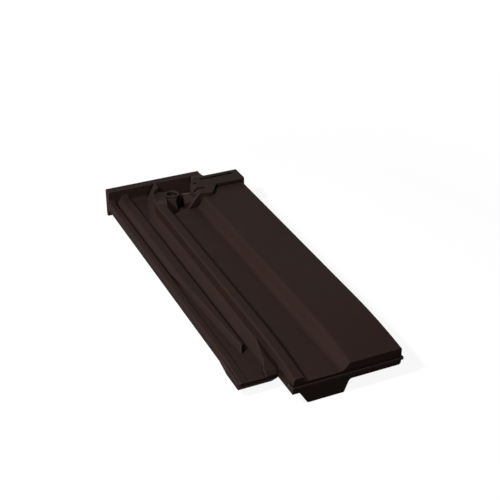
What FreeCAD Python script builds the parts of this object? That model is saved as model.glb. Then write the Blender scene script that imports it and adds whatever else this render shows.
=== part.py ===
import FreeCAD, Part
import math
import os

from FreeCAD import Vector

# Half roof tile: one fired-clay piece with a side lock, a cover edge, a head and a foot.
# All sizes are millimetres.
# While it is built, X starts at the left edge of the side lock and grows to the right,
# Y starts at the foot and grows to the head, Z is the height above the surface it lies on.

# Overall sizes
LENGTH = 440.0
RIGHT_SIDE = 158.0
CLAY = 11.0

# Side lock: the strip on the left that the next tile covers
LOCK_BOTTOM = 9.3
LOCK_FLOOR = 17.5
LOCK_FOOT = 33.5
LOCK_UNDERCUT = 2.5
RUN_OUT = 32.0
EDGE_RIB_TOP = 20.5
EDGE_RIB_RIGHT = 7.4
GROOVE_RIGHT = 9.6
MAIN_RIB_LEFT = 15.0
MAIN_RIB_RIGHT = 25.6
MAIN_RIB_TOP = 24.5
MAIN_RIB_FOOT = 77.0
NOSE_X = 20.2
NOSE_LEFT_TURN = -86.5
NOSE_LEFT_LEAN = 0.3
NOSE_END_TURN = 35.0
NOSE_END_LEAN = 0.42
NOSE_REACH = 230.0
CHANNEL_RIGHT = 33.0
RIB_DRAFT = 1.0

# Ridge beside the lock
RIDGE_BASE_X = 39.6
RIDGE_BASE_Z = 26.0
RIDGE_LEFT = 41.0
RIDGE_RIGHT = 51.2
RIDGE_TOP = 38.0

# Face of the tile: low field, ramp and high field
LOW_TOP = 26.0
RAMP_FOOT_X = 94.0
RAMP_HEAD_X = 100.0
HIGH_TOP = 39.8
LOW_UNDER = LOW_TOP - CLAY
HIGH_UNDER = HIGH_TOP - CLAY
UNDER_SLOPE = 7.0

# Cover edge: the skirt and rib that go over the lock of the next tile
COVER_WIDTH = 123.5
COVER_GAP = 3.0
SKIRT_WIDTH = 6.0
SKIRT_BOTTOM = LOCK_FLOOR + COVER_GAP
COVER_RIB_BOTTOM = EDGE_RIB_TOP + COVER_GAP
COVER_RIB_WIDTH = 5.0

# Bend that brings the face down to the foot
BEND_START = 95.0
BEND_RADIUS = 700.0
BEND_STATIONS = 6

# Foot: rim, thin flange round it and the hanging nib
FOOT_FRONT = 1.7
FOOT_LEFT = 39.6
RIM_DEPTH = 13.0
RIM_BOTTOM = 14.3
RIM_ROUND = 3.0
FLANGE_REACH = 1.7
FLANGE_SIDE = 1.5
FLANGE_SIDE_RIGHT = 2.3
FLANGE_TOP = 22.8
FLANGE_THICK = 2.2
FLANGE_DEPTH = 9.0
NIB_LEFT = 46.8
NIB_RIGHT = 101.0
NIB_SLOPE_LEFT = 9.0
NIB_SLOPE_RIGHT = 5.8
NIB_DEPTH = 12.0
NIB_SPREAD_LEFT = 4.0
NIB_SPREAD_RIGHT = 8.0

# Flare at the foot end of the lock and the shelf in its channel
FLARE = 2.1
FLARE_START = 84.0
FLARE_END = 63.0
SHELF_TOP = 21.0
SHELF_LEFT = 26.7
SHELF_RIGHT = 40.4
SHELF_FRONT = 37.5
SHELF_REAR = 79.0
SHELF_TAPER = 17.0
SHELF_NARROW = 4.0

# Head wall and the lugs that hang on the batten
WALL_THICK = 10.0
WALL_TOP = 35.0
WALL_RIGHT = 122.4
WALL_COVE = 5.0
LUG_THICK = 5.2
LUG_WIDTH = 34.0
RIGHT_LUG_X = 84.0

# Raised bar on the high field and the stepped block that dams the pocket
STEP_BACK = 33.0
BAR_DEPTH = 26.0
BAR_RIGHT = 161.2
BLOCK_TOP = 44.5
BLOCK_REACH = 15.0
BLOCK_END_X = 111.0
BLOCK_STEP_X = 122.6
FLANK_LOW_X = 81.0
FLANK_HIGH_X = 96.0
CREST_WIDTH = 3.5
CREST_STEP = 3.1

# Head pocket, its sloping right side and the corner post beside the wall
FIELD_END = 83.5
POCKET_LEFT = 53.0
POCKET_CLAY = 7.0
POCKET_FLOOR = LOCK_BOTTOM + POCKET_CLAY
POCKET_NOTCH_X = 91.8
POCKET_NOTCH_BEHIND = 6.0
POCKET_BEND_X = 99.3
POCKET_BEND_BEFORE = 3.5
POCKET_REAR_X = 111.0
POCKET_SLOPE = 4.0
PANEL_BACK = 36.5
PANEL_FOOT_BACK = 56.0
PANEL_LEFT = 82.5
PANEL_LEAN = 7.0
PANEL_REAR_X = 86.0
WALL_SLOPE = 4.5
POST_RIGHT = 61.0
POST_DEPTH = 14.0
FLANK_FOOT_X = 49.5
FLANK_LEAN = 10.0

# Nail seat
SEAT_TOP = 29.0
SEAT_DROP = 27.0
SEAT_LEAD = 31.0
SEAT_REACH = 10.8
SEAT_START = 9.0
NAIL_X = 73.0
NAIL_BACK = 37.0
NAIL_RADIUS = 3.0
BOSS_LEFT = 12.0
BOSS_FRONT = 8.5
BOSS_NOSE = 13.1
BOSS_SIDE = 9.2
BOSS_SIDE_FRONT = 3.5
BOSS_SLOPE_FRONT = 7.0
BOSS_SLOPE_SIDE = 1.0
RING_RADIUS = 9.0
RING_HEIGHT = 1.3
CUP_RADIUS = 6.4
CUP_DEPTH = 3.0

# Slots in the raised block: place, width and depth
SLOT_WIDTH = 5.4
SLOT_DEPTH = 4.5
SLOT_LEFT = 88.0
SLOT_RIGHT = 108.8
SLOT_BEFORE = 2.7
SLOT_END_DEPTH = 10.0
HOLE_X = 99.6
HOLE_BEHIND = 11.6
HOLE_LENGTH = 5.2
HOLE_WIDTH = 3.6
HOLE_DEPTH = 4.5
GUTTER_LEFT = 109.0
GUTTER_SHORT = 8.0
GUTTER_BACK = 7.2
GUTTER_WIDTH = 4.6
GUTTER_DEPTH = 2.6

# Places that follow from the sizes
WALL_FRONT = LENGTH - WALL_THICK
STEP_Y = LENGTH - STEP_BACK
BAR_FRONT = STEP_Y - BAR_DEPTH
BLOCK_FRONT = BAR_FRONT - BLOCK_REACH
NOTCH_Y = BAR_FRONT + POCKET_NOTCH_BEHIND
FIELD_END_Y = LENGTH - FIELD_END
NAIL_Y = LENGTH - NAIL_BACK
SINK_START_Y = NAIL_Y - SEAT_LEAD
CREST_BACK_Y = BLOCK_FRONT + CREST_WIDTH
FLANK_RUN = (FLANK_HIGH_X - FLANK_LOW_X) / (BLOCK_TOP - LOW_TOP)
INSIDE = 1.0
CLEAR = 10.0


def in_section(y):
    """Placing rule for outlines drawn across the tile."""
    return lambda u, v: Vector(u, y, v)


def in_plan(z):
    """Placing rule for outlines seen from above."""
    return lambda u, v: Vector(u, v, z)


def in_side(x):
    """Placing rule for outlines seen from the side."""
    return lambda u, v: Vector(x, u, v)


def corner_round(before, corner, after):
    """Start, middle and end of the arc that rounds one corner of an outline."""
    cx, cy, radius = corner
    ax, ay = before[0] - cx, before[1] - cy
    bx, by = after[0] - cx, after[1] - cy
    a_len, b_len = math.hypot(ax, ay), math.hypot(bx, by)
    ax, ay, bx, by = ax / a_len, ay / a_len, bx / b_len, by / b_len
    half = math.acos(max(-1.0, min(1.0, ax * bx + ay * by))) / 2
    reach = radius / math.tan(half)
    mx, my = ax + bx, ay + by
    m_len = math.hypot(mx, my)
    mid = radius / math.sin(half) - radius
    start = (cx + ax * reach, cy + ay * reach)
    middle = (cx + mx / m_len * mid, cy + my / m_len * mid)
    end = (cx + bx * reach, cy + by * reach)
    return start, middle, end


def outline(corners, place):
    """Closed wire through corners (u, v) or rounded corners (u, v, radius)."""
    count = len(corners)
    stops = []
    for i, corner in enumerate(corners):
        if len(corner) == 3:
            stops.append(corner_round(corners[i - 1], corner, corners[(i + 1) % count]))
        else:
            stops.append((corner, None, corner))
    edges = []
    for i, (start, middle, end) in enumerate(stops):
        if middle:
            arc = Part.Arc(place(*start), place(*middle), place(*end))
            edges.append(arc.toShape())
        following = stops[(i + 1) % count][0]
        edges.append(Part.makeLine(place(*end), place(*following)))
    return Part.Wire(edges)


def prism(corners, place, direction):
    return Part.Face(outline(corners, place)).extrude(direction)


def across(corners, y_from, y_to):
    """Solid with one outline from y_from to y_to."""
    return prism(corners, in_section(y_from), Vector(0, y_to - y_from, 0))


def upright(corners, z_from, z_to):
    """Solid with one plan outline from z_from to z_to."""
    return prism(corners, in_plan(z_from), Vector(0, 0, z_to - z_from))


def sideways(corners, x_from, x_to):
    """Solid with one side outline from x_from to x_to."""
    return prism(corners, in_side(x_from), Vector(x_to - x_from, 0, 0))


def flat_face(points):
    return Part.Face(Part.makePolygon(points + points[:1]))


def between(first, first_place, second, second_place):
    """Solid with straight sides between two outlines of as many corners."""
    near = [first_place(*corner) for corner in first]
    far = [second_place(*corner) for corner in second]
    faces = [flat_face(near), flat_face(far)]
    for i in range(len(near)):
        j = (i + 1) % len(near)
        faces.append(flat_face([near[i], near[j], far[j]]))
        faces.append(flat_face([near[i], far[j], far[i]]))
    solid = Part.Solid(Part.Shell(faces))
    if solid.Volume < 0:
        solid.reverse()
    return solid.removeSplitter()


def bend_drop(y):
    """How far the ridge and the high field lie below their usual height at y."""
    run = max(0.0, BEND_START - y)
    return run * run / (2 * BEND_RADIUS)


def lock_corners():
    """Top of the side lock, from its left edge to the channel."""
    return [
        (0, LOCK_BOTTOM, 0.8),
        (0, EDGE_RIB_TOP, 2.5),
        (EDGE_RIB_RIGHT, EDGE_RIB_TOP, 0.7),
        (EDGE_RIB_RIGHT + RIB_DRAFT * 0.5, LOCK_FLOOR, 0.4),
        (GROOVE_RIGHT, LOCK_FLOOR, 1.0),
        (MAIN_RIB_LEFT, MAIN_RIB_TOP, 2.0),
        (MAIN_RIB_RIGHT, MAIN_RIB_TOP, 0.9),
        (MAIN_RIB_RIGHT + RIB_DRAFT, LOCK_FLOOR, 0.6),
        (CHANNEL_RIGHT, LOCK_FLOOR, 5.0),
    ]


def face_corners(drop):
    """Ridge, low field, ramp and high field with their bend."""
    ridge = RIDGE_TOP - drop
    high = HIGH_TOP - drop
    return [
        (RIDGE_BASE_X, RIDGE_BASE_Z, 2.5),
        (RIDGE_LEFT, ridge, 2.2),
        (RIDGE_RIGHT, ridge, 1.2),
        (RIDGE_RIGHT + RIB_DRAFT, LOW_TOP, 0.8),
        (RAMP_FOOT_X, LOW_TOP, 8.0),
        (RAMP_HEAD_X, high, 5.0),
        (RIGHT_SIDE, high, 1.2),
    ]


def under_corners():
    """Underside, from the cover skirt back to the side lock."""
    skirt = RIGHT_SIDE - SKIRT_WIDTH
    rib = COVER_WIDTH + EDGE_RIB_RIGHT / 2 - COVER_RIB_WIDTH / 2
    return [
        (RIGHT_SIDE, SKIRT_BOTTOM, 1.5),
        (skirt, SKIRT_BOTTOM, 1.5),
        (skirt - RIB_DRAFT, HIGH_UNDER, 2.0),
        (rib + COVER_RIB_WIDTH + RIB_DRAFT, HIGH_UNDER, 1.5),
        (rib + COVER_RIB_WIDTH, COVER_RIB_BOTTOM, 1.0),
        (rib, COVER_RIB_BOTTOM, 1.0),
        (rib - RIB_DRAFT, HIGH_UNDER, 1.5),
        (RAMP_HEAD_X + CLAY * 0.6, HIGH_UNDER, 4.0),
        (RAMP_FOOT_X + CLAY * 0.5, LOW_UNDER, 6.0),
        (RIDGE_LEFT, LOW_UNDER, 3.0),
        (RIDGE_LEFT - UNDER_SLOPE, LOCK_BOTTOM, 3.0),
    ]


def section(y):
    corners = lock_corners() + face_corners(bend_drop(y)) + under_corners()
    return outline(corners, in_section(y))


def body():
    """The long tile body, straight at the head end and bent down towards the foot."""
    run = WALL_FRONT + INSIDE - BEND_START
    straight = Part.Face(section(BEND_START)).extrude(Vector(0, run, 0))
    step = (BEND_START - FOOT_FRONT) / (BEND_STATIONS - 1)
    stations = [section(FOOT_FRONT + step * i) for i in range(BEND_STATIONS)]
    bent = Part.makeLoft(stations, True, False)
    return straight.fuse(bent)


def lock_end_cut():
    """Space in front of the lock: it ends short of the foot, with an undercut front face."""
    front = [
        (-CLEAR, -CLEAR), (LOCK_FOOT + LOCK_UNDERCUT, -CLEAR),
        (LOCK_FOOT + LOCK_UNDERCUT, LOCK_BOTTOM - INSIDE), (LOCK_FOOT, LOCK_BOTTOM + 4),
        (LOCK_FOOT, RIDGE_TOP + CLEAR), (-CLEAR, RIDGE_TOP + CLEAR),
    ]
    return sideways(front, -CLEAR, FOOT_LEFT)


def edge_rib_cut():
    """The left rib runs out towards the foot."""
    end = LOCK_FOOT + RUN_OUT
    side = [
        (LOCK_FOOT - INSIDE, LOCK_FLOOR + 0.4), (end, EDGE_RIB_TOP + 0.1),
        (end, EDGE_RIB_TOP + CLEAR), (LOCK_FOOT - INSIDE, EDGE_RIB_TOP + CLEAR),
    ]
    return sideways(side, -CLEAR, GROOVE_RIGHT - 0.6)


def nose_cut(turn, lean):
    """Space in front of one sloping end face of the main rib, turned about the rib's nose."""
    rise = MAIN_RIB_TOP + INSIDE - LOCK_FLOOR
    side = [(-NOSE_REACH, 0), (0, 0), (rise * lean, rise), (-NOSE_REACH, rise)]
    wedge = sideways(side, -NOSE_REACH, NOSE_REACH)
    wedge.rotate(Vector(0, 0, 0), Vector(0, 0, 1), turn)
    wedge.translate(Vector(NOSE_X, MAIN_RIB_FOOT, LOCK_FLOOR))
    return wedge


def main_rib_cut():
    """The main rib narrows to a nose with a long left face and a short end face."""
    left = GROOVE_RIGHT - 0.7
    start = Vector(left, LOCK_FOOT - INSIDE, LOCK_BOTTOM)
    reach = Part.makeBox(MAIN_RIB_RIGHT + 2 - left, NOSE_REACH, MAIN_RIB_TOP, start)
    left_face = nose_cut(NOSE_LEFT_TURN, NOSE_LEFT_LEAN)
    end_face = nose_cut(NOSE_END_TURN, NOSE_END_LEAN)
    return left_face.fuse(end_face).common(reach)


def lock_flare():
    """Wider left side at the foot end of the lock."""
    plan = [
        (INSIDE + 0.5, LOCK_FOOT),
        (-FLARE, LOCK_FOOT, 3.0),
        (-FLARE, FLARE_END, 12.0),
        (0, FLARE_START, 12.0),
        (INSIDE + 0.5, FLARE_START + CLEAR),
    ]
    return upright(plan, LOCK_BOTTOM, LOCK_FLOOR)


def shelf_plan():
    """Plan of the flat shelf at the foot end of the channel, narrow towards the head."""
    front = LOCK_FOOT - INSIDE
    return [
        (SHELF_RIGHT, front), (SHELF_LEFT, front), (SHELF_LEFT, SHELF_FRONT + 2, 4.0),
        (SHELF_RIGHT - SHELF_NARROW, SHELF_REAR - SHELF_TAPER, 12.0), (SHELF_RIGHT, SHELF_REAR),
    ]


def shelf_front_cut():
    """Space above the sloping front of the shelf."""
    front = LOCK_FOOT - INSIDE
    high = RIDGE_BASE_Z + 2
    side = [(front, LOCK_FLOOR - 0.5), (SHELF_FRONT, SHELF_TOP), (SHELF_FRONT, high), (front, high)]
    return sideways(side, SHELF_LEFT - CLEAR, SHELF_RIGHT)


def shelf():
    return upright(shelf_plan(), LOCK_FLOOR - INSIDE, SHELF_TOP).cut(shelf_front_cut())


def shelf_space():
    """Room above the shelf where the channel's right side gives way, rising to the rear."""
    front = LOCK_FOOT - INSIDE
    bend = SHELF_REAR - SHELF_TAPER
    high = RIDGE_BASE_Z + 2
    side = [(front, SHELF_TOP), (bend, SHELF_TOP), (SHELF_REAR + CLEAR, high), (front, high)]
    return sideways(side, CHANNEL_RIGHT - 1, SHELF_RIGHT)


def foot():
    """Rim below the foot, the thin flange round it and the nib that hooks on the tile below."""
    rim_head_z = HIGH_UNDER + INSIDE
    rim = across(
        [(FOOT_LEFT, RIM_BOTTOM, 1.0), (FOOT_LEFT, LOW_TOP - 2), (RAMP_HEAD_X, LOW_TOP - 2),
         (RAMP_HEAD_X + CLAY * 0.5, rim_head_z), (RIGHT_SIDE, rim_head_z),
         (RIGHT_SIDE, RIM_BOTTOM, RIM_ROUND)],
        FOOT_FRONT, RIM_DEPTH)
    flange_left = FOOT_LEFT - FLANGE_SIDE
    flange_right = RIGHT_SIDE + FLANGE_SIDE_RIGHT
    flange_front = FOOT_FRONT - FLANGE_REACH
    flange = upright(
        [(flange_left, flange_front, 1.0), (flange_right, flange_front, 1.5),
         (flange_right, FLANGE_DEPTH), (flange_left, FLANGE_DEPTH)],
        FLANGE_TOP - FLANGE_THICK, FLANGE_TOP)
    root = RIM_BOTTOM + 2
    nib = across(
        [(NIB_LEFT - NIB_SPREAD_LEFT, root), (NIB_LEFT - NIB_SPREAD_LEFT, RIM_BOTTOM),
         (NIB_LEFT, RIM_BOTTOM, 1.5), (NIB_LEFT + NIB_SLOPE_LEFT, 0, 2.5),
         (NIB_RIGHT - NIB_SLOPE_RIGHT, 0, 1.2), (NIB_RIGHT, RIM_BOTTOM, 4.0),
         (NIB_RIGHT + NIB_SPREAD_RIGHT, RIM_BOTTOM), (NIB_RIGHT + NIB_SPREAD_RIGHT, root)],
        FOOT_FRONT, FOOT_FRONT + NIB_DEPTH)
    return [rim, flange, nib]


def panel_x(z):
    """Where the sloping right side of the pocket stands at height z."""
    return FLANK_LOW_X + CREST_STEP + (z - LOW_TOP) * FLANK_RUN


def panel():
    """Sloping clay on the pocket's right side, behind the crest."""
    low = POCKET_FLOOR - CLEAR
    high = BLOCK_TOP + 2 * CLEAR
    right = POCKET_REAR_X + CLEAR
    slope = across(
        [(panel_x(low), low), (panel_x(high), high), (right + CLEAR, high), (right + CLEAR, low)],
        FIELD_END_Y, WALL_FRONT)
    plan = [
        (PANEL_LEFT, LENGTH - PANEL_FOOT_BACK), (PANEL_LEFT + PANEL_LEAN, CREST_BACK_Y - INSIDE),
        (right, CREST_BACK_Y - INSIDE), (right, NOTCH_Y), (POCKET_NOTCH_X, NOTCH_Y),
        (PANEL_REAR_X, LENGTH - PANEL_BACK),
    ]
    return slope.common(upright(plan, low, high))


def pocket_plan(z):
    shift = POCKET_SLOPE * (BLOCK_TOP - z) / (BLOCK_TOP - POCKET_FLOOR)
    back_y = WALL_FRONT + INSIDE
    return [
        (POCKET_LEFT, FIELD_END_Y), (FLANK_LOW_X, CREST_BACK_Y), (POCKET_NOTCH_X + 1 - shift, CREST_BACK_Y),
        (POCKET_NOTCH_X - shift, NOTCH_Y), (POCKET_BEND_X - shift, STEP_Y - POCKET_BEND_BEFORE),
        (POCKET_REAR_X - shift, back_y), (POCKET_LEFT, back_y),
    ]


def pocket():
    """Deep pocket behind the low field, where the foot nib of the tile above sits."""
    top = BLOCK_TOP + CLEAR
    space = between(pocket_plan(POCKET_FLOOR), in_plan(POCKET_FLOOR), pocket_plan(top), in_plan(top))
    return space.cut(panel())


def pocket_under():
    """Clay round the underside of the pocket, from the low field to the head wall."""
    front = FIELD_END_Y - POCKET_CLAY - INSIDE
    rear = WALL_FRONT + INSIDE
    left = POCKET_LEFT - CLAY * 0.5
    top = LOW_UNDER + 2
    side = [(front, top), (front + 5, LOCK_BOTTOM, 3.0), (rear, LOCK_BOTTOM), (rear, top)]
    plan = [
        (left, front), (FLANK_LOW_X + CLAY, front), (FLANK_LOW_X + CLAY, BAR_FRONT),
        (POCKET_REAR_X + 2, rear), (left, rear),
    ]
    return sideways(side, left, POCKET_REAR_X + CLAY).common(upright(plan, LOCK_BOTTOM, top))


def ridge_drop(top):
    """Side outline of the ridge end, which sinks from the ridge's height to the nail seat."""
    back_y = WALL_FRONT + INSIDE
    return [
        (SINK_START_Y - CLEAR, top), (SINK_START_Y - CLEAR, RIDGE_TOP), (SINK_START_Y, RIDGE_TOP, 25.0),
        (SINK_START_Y + SEAT_DROP, SEAT_TOP, 25.0), (back_y, SEAT_TOP), (back_y, top),
    ]


def ridge_top_cut():
    """Space above the sinking end of the ridge."""
    return sideways(ridge_drop(RIDGE_TOP + CLEAR), CHANNEL_RIGHT - CLEAR, POCKET_LEFT + 2)


def boss_plan(slope):
    """Plan of the boss, wider by its slopes at the foot: a blunt nose towards the tile's foot."""
    front = NAIL_Y - BOSS_SLOPE_FRONT * slope
    left = NAIL_X - BOSS_LEFT
    side = NAIL_X + BOSS_SIDE + BOSS_SLOPE_SIDE * slope
    back = NAIL_Y + RING_RADIUS
    return [
        (left, front - BOSS_FRONT), (NAIL_X, front - BOSS_NOSE), (side, front - BOSS_SIDE_FRONT),
        (side, back), (left, back),
    ]


def nail_seat():
    """Seat at the end of the ridge, with its sloping boss and the raised ring."""
    left = RIDGE_LEFT + 4
    post_front = WALL_FRONT - POST_DEPTH + INSIDE
    start = SINK_START_Y - SEAT_START
    plan = [
        (left, start), (RIDGE_RIGHT + RIB_DRAFT, start), (RIDGE_RIGHT + SEAT_REACH, NAIL_Y - RING_RADIUS),
        (NAIL_X, NAIL_Y), (NAIL_X, NAIL_Y + RING_RADIUS), (POST_RIGHT - INSIDE, post_front),
        (POST_RIGHT - INSIDE, WALL_FRONT + INSIDE), (left, WALL_FRONT + INSIDE),
    ]
    limit = sideways(ridge_drop(LOW_UNDER), RIDGE_LEFT, NAIL_X + CLEAR)
    seat = upright(plan, LOW_UNDER, RIDGE_TOP).common(limit)
    boss = between(boss_plan(1), in_plan(LOW_UNDER), boss_plan(0), in_plan(SEAT_TOP))
    ring = Part.makeCylinder(RING_RADIUS, RING_HEIGHT + INSIDE,
                             Vector(NAIL_X, NAIL_Y, SEAT_TOP - INSIDE))
    return [seat, boss, ring]


def nail_hole():
    top = SEAT_TOP + RING_HEIGHT
    cup = Part.makeCylinder(CUP_RADIUS, CUP_DEPTH + INSIDE, Vector(NAIL_X, NAIL_Y, top - CUP_DEPTH))
    hole = Part.makeCylinder(NAIL_RADIUS, top + CLEAR, Vector(NAIL_X, NAIL_Y, -CLEAR))
    return cup.fuse(hole)


def corner_post():
    """Post between the ridge end and the wall."""
    front = WALL_FRONT - POST_DEPTH
    plan = [
        (RIDGE_RIGHT - 4, front), (POST_RIGHT, front, 2.0), (POST_RIGHT, WALL_FRONT + INSIDE),
        (RIDGE_RIGHT - 4, WALL_FRONT + INSIDE),
    ]
    return upright(plan, SEAT_TOP - 5, WALL_TOP)


def channel_widening():
    """Space beside the ridge end: the channel gets wider towards the wall."""
    base = (RIDGE_BASE_Z - LOCK_FLOOR) / (WALL_TOP - LOCK_FLOOR)
    left = CHANNEL_RIGHT - 5
    high = RIDGE_TOP + 5
    narrow = [
        (left, LOCK_FLOOR), (CHANNEL_RIGHT, LOCK_FLOOR), (RIDGE_BASE_X - 0.2, RIDGE_BASE_Z),
        (RIDGE_LEFT - 0.2, RIDGE_TOP), (RIDGE_LEFT, high), (left, high),
    ]
    wide = [
        (left, LOCK_FLOOR), (FLANK_FOOT_X, LOCK_FLOOR),
        (FLANK_FOOT_X + FLANK_LEAN * base, RIDGE_BASE_Z), (FLANK_FOOT_X + FLANK_LEAN, WALL_TOP),
        (FLANK_FOOT_X + FLANK_LEAN + 3, high), (left, high),
    ]
    return between(narrow, in_section(SINK_START_Y), wide, in_section(WALL_FRONT + 0.5))


def cove(x_from, x_to, z):
    """Hollow rounding where the wall rises from the lock."""
    front = WALL_FRONT - WALL_COVE - 0.5
    side = [
        (WALL_FRONT + INSIDE, z - INSIDE), (WALL_FRONT + INSIDE, z + WALL_COVE + 0.5),
        (WALL_FRONT, z + WALL_COVE + 0.5), (WALL_FRONT, z, WALL_COVE), (front, z), (front, z - INSIDE),
    ]
    return sideways(side, x_from, x_to)


def wall_slope():
    """Sloping foot of the wall in the pocket."""
    rear = WALL_FRONT + INSIDE
    side = [
        (rear, POCKET_FLOOR - INSIDE), (rear, WALL_TOP - INSIDE), (WALL_FRONT, WALL_TOP - INSIDE),
        (WALL_FRONT - WALL_SLOPE, POCKET_FLOOR - INSIDE),
    ]
    return sideways(side, POST_RIGHT - INSIDE, POCKET_REAR_X)


def head_wall():
    """Low wall along the head with its hanging lugs."""
    wall = across(
        [(0, LOCK_BOTTOM, 2.0), (0, WALL_TOP, 1.5), (WALL_RIGHT, WALL_TOP, 0.6),
         (WALL_RIGHT, LOW_UNDER), (RIDGE_LEFT, LOW_UNDER), (RIDGE_LEFT - UNDER_SLOPE, LOCK_BOTTOM)],
        WALL_FRONT, LENGTH)
    front = WALL_FRONT - 2
    step = LENGTH - LUG_THICK
    lug_side = [
        (LENGTH, 0, 1.0), (LENGTH, LOW_UNDER + 3), (front, LOW_UNDER + 3),
        (front, LOCK_BOTTOM), (step, LOCK_BOTTOM, 2.0), (step, 0, 1.0),
    ]
    left = sideways(lug_side, 0, LUG_WIDTH)
    right = sideways(lug_side, RIGHT_LUG_X, RIGHT_LUG_X + LUG_WIDTH)
    coves = [
        cove(1.0, EDGE_RIB_RIGHT, EDGE_RIB_TOP),
        cove(EDGE_RIB_RIGHT + 1, FLANK_FOOT_X + 4, LOCK_FLOOR),
        cove(MAIN_RIB_LEFT + 1, MAIN_RIB_RIGHT - 0.5, MAIN_RIB_TOP),
    ]
    return [wall, left, right] + coves


def head_step_cut():
    """Space behind the bar, where the tile ends short of the head and falls to the wall."""
    width = BAR_RIGHT - WALL_RIGHT + CLEAR
    start = Vector(WALL_RIGHT, STEP_Y, -CLEAR)
    behind = Part.makeBox(width, STEP_BACK + CLEAR, BLOCK_TOP + 2 * CLEAR, start)
    high = BLOCK_TOP + CLEAR
    falling = sideways(
        [(STEP_Y, high), (STEP_Y, HIGH_TOP), (WALL_FRONT, WALL_TOP),
         (WALL_FRONT + 2 * INSIDE, WALL_TOP), (WALL_FRONT + 2 * INSIDE, high)],
        POCKET_LEFT, WALL_RIGHT + INSIDE)
    return behind.fuse(falling)


def head_block():
    """Raised bar on the high field with the stepped block that dams the pocket."""
    root = LOW_TOP - 5
    left = FLANK_LOW_X - 6
    plan = [
        (left, BLOCK_FRONT + 1), (FLANK_HIGH_X, BLOCK_FRONT + 0.5), (BLOCK_END_X, BLOCK_FRONT - 3, 1.0),
        (BLOCK_STEP_X, BAR_FRONT, 1.0), (BAR_RIGHT, BAR_FRONT, 2.0), (BAR_RIGHT, STEP_Y, 1.0),
        (left, STEP_Y),
    ]
    block = upright(plan, root, BLOCK_TOP)
    profile = across(
        [(FLANK_LOW_X, root), (FLANK_LOW_X, LOW_TOP + 0.5), (FLANK_HIGH_X, BLOCK_TOP, 2.5),
         (BAR_RIGHT, BLOCK_TOP, 1.0), (BAR_RIGHT, HIGH_TOP - 5), (BLOCK_STEP_X, HIGH_TOP - 5),
         (BLOCK_END_X, root)],
        BLOCK_FRONT - CLEAR, STEP_Y + CLEAR)
    return block.common(profile)


def slot(x_from, x_to, y, width, depth):
    """Round-ended slot along X, sunk into the raised block."""
    round_end = width / 2 - 0.1
    plan = [
        (x_from, y - width / 2, round_end), (x_to, y - width / 2, round_end),
        (x_to, y + width / 2, round_end), (x_from, y + width / 2, round_end),
    ]
    return upright(plan, BLOCK_TOP - depth, BLOCK_TOP + CLEAR)


def block_slots():
    """Slots, the hole and the long gutter in the top of the block and the bar."""
    slot_y = BAR_FRONT - SLOT_BEFORE
    hole_y = BAR_FRONT + HOLE_BEHIND
    gutter_y = STEP_Y - GUTTER_BACK
    open_slot = slot(SLOT_LEFT, SLOT_RIGHT, slot_y, SLOT_WIDTH, SLOT_DEPTH)
    slot_end = slot(SLOT_RIGHT - SLOT_WIDTH, SLOT_RIGHT, slot_y, SLOT_WIDTH, SLOT_END_DEPTH)
    hole = slot(HOLE_X - HOLE_LENGTH / 2, HOLE_X + HOLE_LENGTH / 2, hole_y, HOLE_WIDTH, HOLE_DEPTH)
    gutter = slot(GUTTER_LEFT, BAR_RIGHT - GUTTER_SHORT, gutter_y, GUTTER_WIDTH, GUTTER_DEPTH)
    return [open_slot, slot_end, hole, gutter]


def half_tile():
    tile = body()
    tile = tile.cut([edge_rib_cut(), main_rib_cut(), shelf_space(), shelf_front_cut()])
    tile = tile.fuse([lock_flare(), shelf()])
    tile = tile.cut(lock_end_cut())
    tile = tile.fuse(foot())
    tile = tile.cut([head_step_cut(), ridge_top_cut()])
    tile = tile.fuse([head_block(), pocket_under()])
    tile = tile.cut(pocket())
    tile = tile.fuse(nail_seat() + [corner_post(), wall_slope()])
    tile = tile.cut(channel_widening())
    tile = tile.fuse(head_wall())
    tile = tile.cut([nail_hole()] + block_slots())
    return tile.removeSplitter()


def centred(shape):
    """The shape moved so that the middle of its lowest plane is the origin."""
    box = shape.BoundBox
    moved = shape.copy()
    moved.translate(Vector(-box.Center.x, -box.Center.y, -box.ZMin))
    return moved


def main():
    os.makedirs("parts", exist_ok=True)
    tile = centred(half_tile())
    solids = tile.Solids
    print("solids", len(solids), "valid", tile.isValid(), "volume cm3", round(tile.Volume / 1000, 1))
    print("size", tile.BoundBox)
    solids[0].exportStep("parts/half_tile.step")


main()
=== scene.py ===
import math

import bpy
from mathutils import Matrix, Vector

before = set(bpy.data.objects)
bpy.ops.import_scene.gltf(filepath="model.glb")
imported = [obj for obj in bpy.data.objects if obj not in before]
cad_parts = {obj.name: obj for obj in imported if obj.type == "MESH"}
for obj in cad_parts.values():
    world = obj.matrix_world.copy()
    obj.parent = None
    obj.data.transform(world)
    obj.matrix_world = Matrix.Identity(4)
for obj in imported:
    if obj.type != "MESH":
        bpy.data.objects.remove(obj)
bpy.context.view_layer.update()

# Camera: the photograph's viewing angle, in metres and degrees
CAMERA_PLACE = Vector((-0.42845, -0.9718, 0.6710))
CAMERA_ELEVATION = 30.451
CAMERA_AZIMUTH = 24.543
FOCAL_PIXELS = 1124.8
FRAME_PIXELS = 500
SENSOR_MM = 36.0

# Studio light: a key high on the left, a low side light without shadow and a dim room
KEY_PLACE = (-0.89, -0.26, 1.03)
KEY_POWER = 17.5
SIDE_PLACE = (-1.20, -0.15, 0.25)
SIDE_POWER = 8.0
LAMP_SIZE = 0.16
ROOM_LIGHT = 0.15
FLOOR_SIZE = 8.0
FLOOR_COLOUR = (0.14, 0.14, 0.14, 1)
FLOOR_NEAR = 0.90
FLOOR_FAR = 1.0
NEAR_REACH = 0.35
FAR_REACH = 1.0

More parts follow.
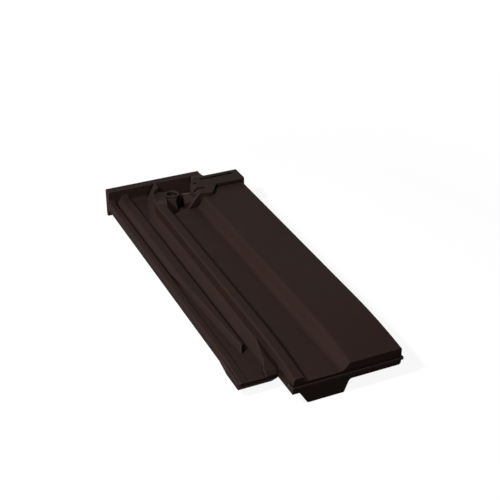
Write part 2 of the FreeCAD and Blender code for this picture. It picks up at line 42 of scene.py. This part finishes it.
# Engobe: the dark brown coat on the fired clay
COAT = (0.0218, 0.0129, 0.0112, 1)
COAT_WARM = (0.0236, 0.0133, 0.0112, 1)
# painted highlight colour for the outer edges
COAT_EDGE_HIGHLIGHT = (0.0600, 0.0430, 0.0380, 1)
# painted shade colour for creases and grooves
COAT_SHADED = (0.0008, 0.0004, 0.0004, 1)
# painted shade colour for the upright faces turned to the left
COAT_LEFT_FACE_SHADE = (0.0100, 0.0050, 0.0042, 1)
COAT_GLOSS = 0.02
ROUGH_LOW = 0.50
ROUGH_HIGH = 0.60
ROUGH_DRIFT = 0.03

# Fineness of the blotches, the ripples and the grain in the coat, and their heights in metres
BLOTCH_SCALE = 16.0
RIPPLE_SCALE = 90.0
RIPPLE_HEIGHT = 0.0006
GRAIN_SCALE = 700.0
GRAIN_HEIGHT = 0.00015
EDGE_ROUND = 0.0012

# Painted shade in creases and painted highlight on outer edges: how far the clay around a point
# counts, in metres, and the share of free directions at which the change starts and is full
CREASE_REACH = 0.005
CREASE_START = 0.68
CREASE_FULL = 0.45
EDGE_REACH = 0.0014
EDGE_START = 0.85
EDGE_FULL = 0.45


def add_camera():
    data = bpy.data.cameras.new("camera")
    data.sensor_width = SENSOR_MM
    data.lens = FOCAL_PIXELS / FRAME_PIXELS * SENSOR_MM
    data.clip_end = 50
    camera = bpy.data.objects.new("camera", data)
    camera.location = CAMERA_PLACE
    camera.rotation_euler = (
        math.radians(90 - CAMERA_ELEVATION), 0, math.radians(-CAMERA_AZIMUTH))
    bpy.context.collection.objects.link(camera)
    bpy.context.scene.camera = camera


class Tree:
    """Short calls for a node tree."""

    def __init__(self, owner):
        owner.use_nodes = True
        self.tree = owner.node_tree

    def node(self, kind, values=(), **settings):
        made = self.tree.nodes.new(kind)
        for name, value in settings.items():
            setattr(made, name, value)
        for name, value in dict(values).items():
            self.put(made.inputs[name], value)
        return made

    def put(self, socket, value):
        if isinstance(value, bpy.types.NodeSocket):
            self.tree.links.new(value, socket)
        else:
            socket.default_value = value

    def noise(self, where, scale, detail=2.0, rough=0.5):
        values = {"Vector": where, "Scale": scale, "Detail": detail, "Roughness": rough}
        return self.node("ShaderNodeTexNoise", values).outputs["Fac"]

    def between(self, value, low, high, to_low=0.0, to_high=1.0):
        values = {
            "Value": value, "From Min": low, "From Max": high, "To Min": to_low, "To Max": to_high}
        return self.node("ShaderNodeMapRange", values).outputs["Result"]

    def maths(self, operation, first, second):
        made = self.node("ShaderNodeMath", operation=operation)
        self.put(made.inputs[0], first)
        self.put(made.inputs[1], second)
        return made.outputs[0]

    def mix(self, factor, first, second, blend="MIX"):
        made = self.node("ShaderNodeMix", data_type="RGBA", blend_type=blend)
        self.put(made.inputs[0], factor)
        self.put(made.inputs[6], first)
        self.put(made.inputs[7], second)
        return made.outputs[2]


def painted_crease_shade(tree):
    """Painted shade: 1 deep in a crease or groove, 0 in the open."""
    open_air = tree.node(
        "ShaderNodeAmbientOcclusion", {"Distance": CREASE_REACH}, samples=12).outputs["AO"]
    return tree.between(open_air, CREASE_START, CREASE_FULL)


def painted_edge_highlight_share(tree, grain):
    """1 on the outer edges, where the painted highlight goes, uneven along them, 0 on the flats."""
    thin = tree.node(
        "ShaderNodeAmbientOcclusion", {"Distance": EDGE_REACH}, samples=12, inside=True).outputs["AO"]
    uneven = tree.between(grain, 0.3, 0.6, 0.6, 1.0)
    return tree.maths("MULTIPLY", tree.between(thin, EDGE_START, EDGE_FULL), uneven)


def left_face_painted_shade(tree):
    """Painted shade: 1 on the upright left side of the lock, darker colour on the faces turned to the
    left.
    """
    facing = tree.node("ShaderNodeSeparateXYZ", {
        "Vector": tree.node("ShaderNodeNewGeometry").outputs["Normal"]}).outputs
    upright = tree.between(facing["Z"], 0.20, 0.05)
    return tree.maths("MULTIPLY", upright, tree.between(facing["X"], -0.80, -0.95))


def coat_colour(tree, where, grain, crease):
    """Brown coat with warm blotches and fine speckle, a painted highlight on outer edges, painted
    shade in creases and on the upright left faces.
    """
    blotches = tree.between(tree.noise(where, BLOTCH_SCALE, 3.0), 0.35, 0.65)
    tone = tree.between(grain, 0.3, 0.7, 0.88, 1.12)
    speckle = tree.node("ShaderNodeCombineColor", {"Red": tone, "Green": tone, "Blue": tone})
    colour = tree.mix(blotches, COAT, COAT_WARM)
    colour = tree.mix(1.0, colour, speckle.outputs["Color"], "MULTIPLY")
    # painted shade: the upright left faces darkened
    colour = tree.mix(left_face_painted_shade(tree), colour, COAT_LEFT_FACE_SHADE)
    # painted highlight: paler colour on the outer edges
    colour = tree.mix(painted_edge_highlight_share(tree, grain), colour, COAT_EDGE_HIGHLIGHT)
    # painted shade: near-black colour deep in creases
    return tree.mix(crease, colour, COAT_SHADED)


def coat_roughness(tree, grain, ripple):
    fine = tree.between(grain, 0.3, 0.7, ROUGH_LOW, ROUGH_HIGH)
    wide = tree.between(ripple, 0.3, 0.7, -ROUGH_DRIFT, ROUGH_DRIFT)
    return tree.maths("ADD", fine, wide)


def coat_relief(tree, grain, ripple):
    """Slightly rounded edges, shallow ripples and fine grain."""
    rounded = tree.node("ShaderNodeBevel", {"Radius": EDGE_ROUND}, samples=6).outputs["Normal"]
    waves = tree.node("ShaderNodeBump", {
        "Height": ripple, "Strength": 0.25, "Distance": RIPPLE_HEIGHT, "Normal": rounded})
    skin = tree.node("ShaderNodeBump", {
        "Height": grain, "Strength": 0.35, "Distance": GRAIN_HEIGHT,
        "Normal": waves.outputs["Normal"]})
    return skin.outputs["Normal"]


def clay_material():
    """Dark brown matt engobe on fired clay."""
    material = bpy.data.materials.new("engobed_clay")
    tree = Tree(material)
    shader = tree.tree.nodes["Principled BSDF"]
    where = tree.node("ShaderNodeTexCoord").outputs["Object"]
    grain = tree.noise(where, GRAIN_SCALE, 3.0, 0.6)
    ripple = tree.noise(where, RIPPLE_SCALE, 2.0)
    crease = painted_crease_shade(tree)
    tree.put(shader.inputs["Base Color"], coat_colour(tree, where, grain, crease))
    tree.put(shader.inputs["Roughness"], coat_roughness(tree, grain, ripple))
    tree.put(shader.inputs["Normal"], coat_relief(tree, grain, ripple))
    # sheen taken out in creases, as part of the painted shade
    tree.put(shader.inputs["Specular IOR Level"], tree.between(crease, 0.0, 1.0, COAT_GLOSS, 0.0))
    return material


def add_lamp(name, place, power, casts_shadow):
    """Round lamp turned to the tile."""
    data = bpy.data.lights.new(name, "AREA")
    data.shape = "DISK"
    data.size = LAMP_SIZE
    data.energy = power
    data.use_shadow = casts_shadow
    lamp = bpy.data.objects.new(name, data)
    lamp.location = place
    lamp.rotation_euler = (-lamp.location).to_track_quat("-Z", "Y").to_euler()
    bpy.context.collection.objects.link(lamp)


def seen_directly(tree):
    """1 for what the camera sees directly, in a reflection or through glass."""
    path = tree.node("ShaderNodeLightPath").outputs
    seen = tree.maths("MAXIMUM", path["Is Camera Ray"], path["Is Glossy Ray"])
    return tree.maths("MAXIMUM", seen, path["Is Transmission Ray"])


def white_world():
    world = bpy.data.worlds.new("studio")
    bpy.context.scene.world = world
    tree = Tree(world)
    back = tree.tree.nodes["Background"]
    back.inputs["Color"].default_value = (1, 1, 1, 1)
    tree.put(back.inputs["Strength"], tree.maths("MAXIMUM", seen_directly(tree), ROOM_LIGHT))


def add_floor():
    """Pale floor that shows as white and keeps the tile's soft shadow."""
    bpy.ops.mesh.primitive_plane_add(size=FLOOR_SIZE, location=(0, 0, 0))
    floor = bpy.context.object
    floor.name = "floor"
    material = bpy.data.materials.new("floor")
    tree = Tree(material)
    tree.tree.nodes.remove(tree.tree.nodes["Principled BSDF"])
    matt = tree.node("ShaderNodeBsdfDiffuse", {"Color": FLOOR_COLOUR}).outputs["BSDF"]
    place = tree.node("ShaderNodeTexCoord").outputs["Object"]
    away = tree.node("ShaderNodeVectorMath", {0: place}, operation="LENGTH").outputs["Value"]
    white = tree.between(away, NEAR_REACH, FAR_REACH, FLOOR_NEAR, FLOOR_FAR)
    strength = tree.maths("MULTIPLY", seen_directly(tree), white)
    glow = tree.node("ShaderNodeEmission", {"Strength": strength}).outputs["Emission"]
    both = tree.node("ShaderNodeAddShader")
    tree.put(both.inputs[0], matt)
    tree.put(both.inputs[1], glow)
    output = tree.tree.nodes["Material Output"]
    tree.put(output.inputs["Surface"], both.outputs[0])
    floor.data.materials.append(material)


def main():
    bpy.context.scene.view_settings.view_transform = "Standard"
    add_camera()
    clay = clay_material()
    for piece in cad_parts.values():
        for place in piece.material_slots:
            place.material = clay
    add_lamp("key", KEY_PLACE, KEY_POWER, True)
    add_lamp("side", SIDE_PLACE, SIDE_POWER, False)
    white_world()
    add_floor()


main()
